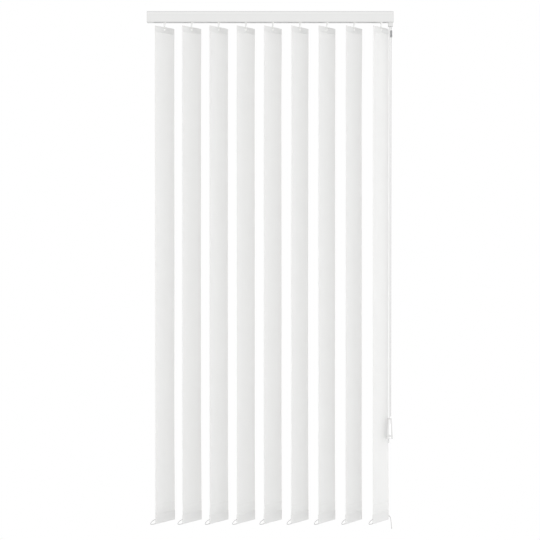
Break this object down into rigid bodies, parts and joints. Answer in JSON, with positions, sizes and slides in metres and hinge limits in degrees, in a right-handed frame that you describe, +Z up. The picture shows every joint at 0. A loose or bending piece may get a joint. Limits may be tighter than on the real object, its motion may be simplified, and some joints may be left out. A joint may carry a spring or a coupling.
{
  "type": "vertical blind",
  "caption": "Ceiling-fixed vertical blind: cloth vanes hang from carriers in a head rail, turned by a bead chain and drawn by a looped cord.",
  "frame": {"origin": "middle of the ceiling plane that the head rail is screwed to, at the centre between its two fixing screws", "axes": "+X along the head rail to the control end, -Y into the room, +Z up"},
  "size_m": [1.0627, 0.1487, 2.2462],
  "materials": {
    "rail_paint": "satin white powder coat",
    "cap_plastic": "moulded white",
    "clip_steel": "zinc plated",
    "cord": "braided white polyester",
    "chain_plastic": "white beads on a thread",
    "connector_plastic": "dark grey moulded",
    "pendant_plastic": "moulded white, weighted",
    "pulley_plastic": "acetal",
    "rod_metal": "drawn",
    "carrier_plastic": "acetal",
    "worm_plastic": "acetal",
    "hook_plastic": "translucent white acetal",
    "vane_cloth": "woven white polyester, stiffened",
    "fitting_plastic": "moulded white"
  },
  "bodies": {
    "head": {"head_rail": "rail_paint", "end_cap": "cap_plastic", "control_housing": "cap_plastic", "ceiling_clips": "clip_steel", "inner_cord": "cord", "pull_cord": "cord", "bead_chain": "chain_plastic", "chain_connector": "connector_plastic", "cord_pendant": "pendant_plastic", "carrier_9": "carrier_plastic"},
    "carrier_1": {"carrier_1": "carrier_plastic"},
    "carrier_2": {"carrier_2": "carrier_plastic"},
    "carrier_3": {"carrier_3": "carrier_plastic"},
    "carrier_4": {"carrier_4": "carrier_plastic"},
    "carrier_5": {"carrier_5": "carrier_plastic"},
    "carrier_6": {"carrier_6": "carrier_plastic"},
    "carrier_7": {"carrier_7": "carrier_plastic"},
    "carrier_8": {"carrier_8": "carrier_plastic"},
    "vane_1": {"vane_hook_1": "hook_plastic", "vane_fabric_1": "vane_cloth", "vane_fittings_1": "fitting_plastic"},
    "vane_2": {"vane_hook_2": "hook_plastic", "vane_fabric_2": "vane_cloth", "vane_fittings_2": "fitting_plastic"},
    "vane_3": {"vane_hook_3": "hook_plastic", "vane_fabric_3": "vane_cloth", "vane_fittings_3": "fitting_plastic"},
    "vane_4": {"vane_hook_4": "hook_plastic", "vane_fabric_4": "vane_cloth", "vane_fittings_4": "fitting_plastic"},
    "vane_5": {"vane_hook_5": "hook_plastic", "vane_fabric_5": "vane_cloth", "vane_fittings_5": "fitting_plastic"},
    "vane_6": {"vane_hook_6": "hook_plastic", "vane_fabric_6": "vane_cloth", "vane_fittings_6": "fitting_plastic"},
    "vane_7": {"vane_hook_7": "hook_plastic", "vane_fabric_7": "vane_cloth", "vane_fittings_7": "fitting_plastic"},
    "vane_8": {"vane_hook_8": "hook_plastic", "vane_fabric_8": "vane_cloth", "vane_fittings_8": "fitting_plastic"},
    "vane_9": {"vane_hook_9": "hook_plastic", "vane_fabric_9": "vane_cloth", "vane_fittings_9": "fitting_plastic"},
    "worm_1": {"worm_1": "worm_plastic"},
    "worm_2": {"worm_2": "worm_plastic"},
    "worm_3": {"worm_3": "worm_plastic"},
    "worm_4": {"worm_4": "worm_plastic"},
    "worm_5": {"worm_5": "worm_plastic"},
    "worm_6": {"worm_6": "worm_plastic"},
    "worm_7": {"worm_7": "worm_plastic"},
    "worm_8": {"worm_8": "worm_plastic"},
    "worm_9": {"worm_9": "worm_plastic"},
    "tilt_rod": {"tilt_rod": "rod_metal"},
    "chain_wheel": {"chain_wheel": "pulley_plastic"},
    "idler_pulley": {"idler_pulley": "pulley_plastic"},
    "cord_pulley_front": {"cord_pulley_front": "pulley_plastic"},
    "cord_pulley_rear": {"cord_pulley_rear": "pulley_plastic"},
    "pendant_pulley": {"pendant_pulley": "pulley_plastic"}
  },
  "joints": [
    {"name": "traverse_1", "type": "slide", "parent": "head", "child": "carrier_1", "axis": [1, 0, 0], "range_m": [0, 0.692]},
    {"name": "traverse_2", "type": "slide", "parent": "head", "child": "carrier_2", "axis": [1, 0, 0], "range_m": [0, 0.6055]},
    {"name": "traverse_3", "type": "slide", "parent": "head", "child": "carrier_3", "axis": [1, 0, 0], "range_m": [0, 0.519]},
    {"name": "traverse_4", "type": "slide", "parent": "head", "child": "carrier_4", "axis": [1, 0, 0], "range_m": [0, 0.4325]},
    {"name": "traverse_5", "type": "slide", "parent": "head", "child": "carrier_5", "axis": [1, 0, 0], "range_m": [0, 0.346]},
    {"name": "traverse_6", "type": "slide", "parent": "head", "child": "carrier_6", "axis": [1, 0, 0], "range_m": [0, 0.2595]},
    {"name": "traverse_7", "type": "slide", "parent": "head", "child": "carrier_7", "axis": [1, 0, 0], "range_m": [0, 0.173]},
    {"name": "traverse_8", "type": "slide", "parent": "head", "child": "carrier_8", "axis": [1, 0, 0], "range_m": [0, 0.0865]},
    {"name": "tilt_1", "type": "hinge", "parent": "carrier_1", "child": "vane_1", "pos_m": [-0.4545, 0, 0], "axis": [0, 0, 1], "range_deg": [-39, 107]},
    {"name": "tilt_2", "type": "hinge", "parent": "carrier_2", "child": "vane_2", "pos_m": [-0.338, 0, 0], "axis": [0, 0, 1], "range_deg": [-39, 107]},
    {"name": "tilt_3", "type": "hinge", "parent": "carrier_3", "child": "vane_3", "pos_m": [-0.2215, 0, 0], "axis": [0, 0, 1], "range_deg": [-39, 107]},
    {"name": "tilt_4", "type": "hinge", "parent": "carrier_4", "child": "vane_4", "pos_m": [-0.105, 0, 0], "axis": [0, 0, 1], "range_deg": [-39, 107]},
    {"name": "tilt_5", "type": "hinge", "parent": "carrier_5", "child": "vane_5", "pos_m": [0.0115, 0, 0], "axis": [0, 0, 1], "range_deg": [-39, 107]},
    {"name": "tilt_6", "type": "hinge", "parent": "carrier_6", "child": "vane_6", "pos_m": [0.128, 0, 0], "axis": [0, 0, 1], "range_deg": [-39, 107]},
    {"name": "tilt_7", "type": "hinge", "parent": "carrier_7", "child": "vane_7", "pos_m": [0.2445, 0, 0], "axis": [0, 0, 1], "range_deg": [-39, 107]},
    {"name": "tilt_8", "type": "hinge", "parent": "carrier_8", "child": "vane_8", "pos_m": [0.361, 0, 0], "axis": [0, 0, 1], "range_deg": [-39, 107]},
    {"name": "tilt_9", "type": "hinge", "parent": "head", "child": "vane_9", "pos_m": [0.4775, 0, 0], "axis": [0, 0, 1], "range_deg": [-39, 107]},
    {"name": "worm_turn_1", "type": "hinge", "parent": "carrier_1", "child": "worm_1", "pos_m": [-0.4545, 0.0095, -0.03], "axis": [1, 0, 0], "range_deg": [-480, 1296]},
    {"name": "worm_turn_2", "type": "hinge", "parent": "carrier_2", "child": "worm_2", "pos_m": [-0.338, 0.0095, -0.03], "axis": [1, 0, 0], "range_deg": [-480, 1296]},
    {"name": "worm_turn_3", "type": "hinge", "parent": "carrier_3", "child": "worm_3", "pos_m": [-0.2215, 0.0095, -0.03], "axis": [1, 0, 0], "range_deg": [-480, 1296]},
    {"name": "worm_turn_4", "type": "hinge", "parent": "carrier_4", "child": "worm_4", "pos_m": [-0.105, 0.0095, -0.03], "axis": [1, 0, 0], "range_deg": [-480, 1296]},
    {"name": "worm_turn_5", "type": "hinge", "parent": "carrier_5", "child": "worm_5", "pos_m": [0.0115, 0.0095, -0.03], "axis": [1, 0, 0], "range_deg": [-480, 1296]},
    {"name": "worm_turn_6", "type": "hinge", "parent": "carrier_6", "child": "worm_6", "pos_m": [0.128, 0.0095, -0.03], "axis": [1, 0, 0], "range_deg": [-480, 1296]},
    {"name": "worm_turn_7", "type": "hinge", "parent": "carrier_7", "child": "worm_7", "pos_m": [0.2445, 0.0095, -0.03], "axis": [1, 0, 0], "range_deg": [-480, 1296]},
    {"name": "worm_turn_8", "type": "hinge", "parent": "carrier_8", "child": "worm_8", "pos_m": [0.361, 0.0095, -0.03], "axis": [1, 0, 0], "range_deg": [-480, 1296]},
    {"name": "worm_turn_9", "type": "hinge", "parent": "head", "child": "worm_9", "pos_m": [0.4775, 0.0095, -0.03], "axis": [1, 0, 0], "range_deg": [-480, 1296]},
    {"name": "rod_turn", "type": "hinge", "parent": "head", "child": "tilt_rod", "pos_m": [0, 0.0095, -0.03], "axis": [1, 0, 0], "range_deg": [-480, 1296]},
    {"name": "chain_wheel_turn", "type": "hinge", "parent": "head", "child": "chain_wheel", "pos_m": [0.522, 0, -0.03], "axis": [1, 0, 0], "range_deg": [-1296, 480]},
    {"name": "front_pulley_turn", "type": "hinge", "parent": "head", "child": "cord_pulley_front", "pos_m": [0.5085, -0.0045, -0.014], "axis": [0, 1, 0], "range_deg": [0, 6668]},
    {"name": "rear_pulley_turn", "type": "hinge", "parent": "head", "child": "cord_pulley_rear", "pos_m": [0.5085, 0.0045, -0.014], "axis": [0, 1, 0], "range_deg": [-6668, 0]},
    {"name": "idler_turn", "type": "hinge", "parent": "head", "child": "idler_pulley", "pos_m": [-0.509, 0, -0.008], "axis": [0, 0, 1], "range_deg": [0, 8871]},
    {"name": "pendant_pulley_turn", "type": "hinge", "parent": "head", "child": "pendant_pulley", "pos_m": [0.5145, 0, -1.775], "axis": [1, 0, 0], "range_deg": [0, 8871]}
  ],
  "couplings": [
    {"joint": "traverse_2", "follows": "traverse_1", "ratio": 0.875},
    {"joint": "traverse_3", "follows": "traverse_1", "ratio": 0.75},
    {"joint": "traverse_4", "follows": "traverse_1", "ratio": 0.625},
    {"joint": "traverse_5", "follows": "traverse_1", "ratio": 0.5},
    {"joint": "traverse_6", "follows": "traverse_1", "ratio": 0.375},
    {"joint": "traverse_7", "follows": "traverse_1", "ratio": 0.25},
    {"joint": "traverse_8", "follows": "traverse_1", "ratio": 0.125},
    {"joint": "tilt_1", "follows": "tilt_9", "ratio": 1},
    {"joint": "tilt_2", "follows": "tilt_9", "ratio": 1},
    {"joint": "tilt_3", "follows": "tilt_9", "ratio": 1},
    {"joint": "tilt_4", "follows": "tilt_9", "ratio": 1},
    {"joint": "tilt_5", "follows": "tilt_9", "ratio": 1},
    {"joint": "tilt_6", "follows": "tilt_9", "ratio": 1},
    {"joint": "tilt_7", "follows": "tilt_9", "ratio": 1},
    {"joint": "tilt_8", "follows": "tilt_9", "ratio": 1},
    {"joint": "worm_turn_1", "follows": "tilt_9", "ratio": 12},
    {"joint": "worm_turn_2", "follows": "tilt_9", "ratio": 12},
    {"joint": "worm_turn_3", "follows": "tilt_9", "ratio": 12},
    {"joint": "worm_turn_4", "follows": "tilt_9", "ratio": 12},
    {"joint": "worm_turn_5", "follows": "tilt_9", "ratio": 12},
    {"joint": "worm_turn_6", "follows": "tilt_9", "ratio": 12},
    {"joint": "worm_turn_7", "follows": "tilt_9", "ratio": 12},
    {"joint": "worm_turn_8", "follows": "tilt_9", "ratio": 12},
    {"joint": "worm_turn_9", "follows": "tilt_9", "ratio": 12},
    {"joint": "rod_turn", "follows": "tilt_9", "ratio": 12},
    {"joint": "chain_wheel_turn", "follows": "tilt_9", "ratio": -12},
    {"joint": "front_pulley_turn", "follows": "traverse_1", "rad_per_m": 166.67},
    {"joint": "rear_pulley_turn", "follows": "traverse_1", "rad_per_m": -166.67},
    {"joint": "idler_turn", "follows": "traverse_1", "rad_per_m": 222.22},
    {"joint": "pendant_pulley_turn", "follows": "traverse_1", "rad_per_m": 222.22}
  ]
}
